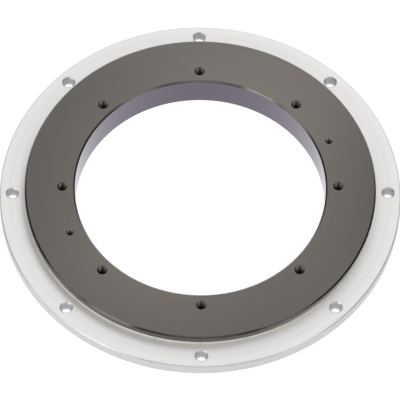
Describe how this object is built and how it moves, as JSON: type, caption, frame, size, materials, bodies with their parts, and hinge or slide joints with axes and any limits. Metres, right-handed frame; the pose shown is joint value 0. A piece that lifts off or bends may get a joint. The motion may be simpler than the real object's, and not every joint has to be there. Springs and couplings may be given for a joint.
{
  "type": "slewing ring",
  "caption": "Low slewing ring: a flat plate ring with plain bolt holes carries a two-piece turning ring with tapped holes and a large open bore on polymer sliders.",
  "frame": {"origin": "centre of the underside, on the axis of rotation", "axes": "+Z along the axis of rotation, towards the face with the tapped holes; +X through the centre of one plain hole and one tapped hole"},
  "size_m": [0.24, 0.24, 0.021],
  "materials": {
    "clear_anodised": "clear anodised, satin",
    "dark_anodised": "hard anodised, dark grey-brown, satin",
    "slider_polymer": "moulded, pale cream",
    "screw_steel": "zinc plated"
  },
  "bodies": {
    "fixed_ring": {"plate_ring": "clear_anodised", "slider_01": "slider_polymer", "slider_02": "slider_polymer", "slider_03": "slider_polymer", "slider_04": "slider_polymer", "slider_05": "slider_polymer", "slider_06": "slider_polymer", "slider_07": "slider_polymer", "slider_08": "slider_polymer", "slider_09": "slider_polymer", "slider_10": "slider_polymer", "slider_11": "slider_polymer", "slider_12": "slider_polymer", "slider_13": "slider_polymer", "slider_14": "slider_polymer", "slider_15": "slider_polymer", "slider_16": "slider_polymer", "slider_17": "slider_polymer", "slider_18": "slider_polymer", "slider_19": "slider_polymer", "slider_20": "slider_polymer", "slider_21": "slider_polymer", "slider_22": "slider_polymer", "slider_23": "slider_polymer", "slider_24": "slider_polymer"},
    "turning_ring": {"hub_ring": "dark_anodised", "retaining_ring": "dark_anodised", "clamp_screws": "screw_steel"}
  },
  "joints": [
    {"name": "ring_turn", "type": "hinge", "parent": "fixed_ring", "child": "turning_ring", "pos_m": [0, 0, 0], "axis": [0, 0, 1], "continuous": true}
  ]
}
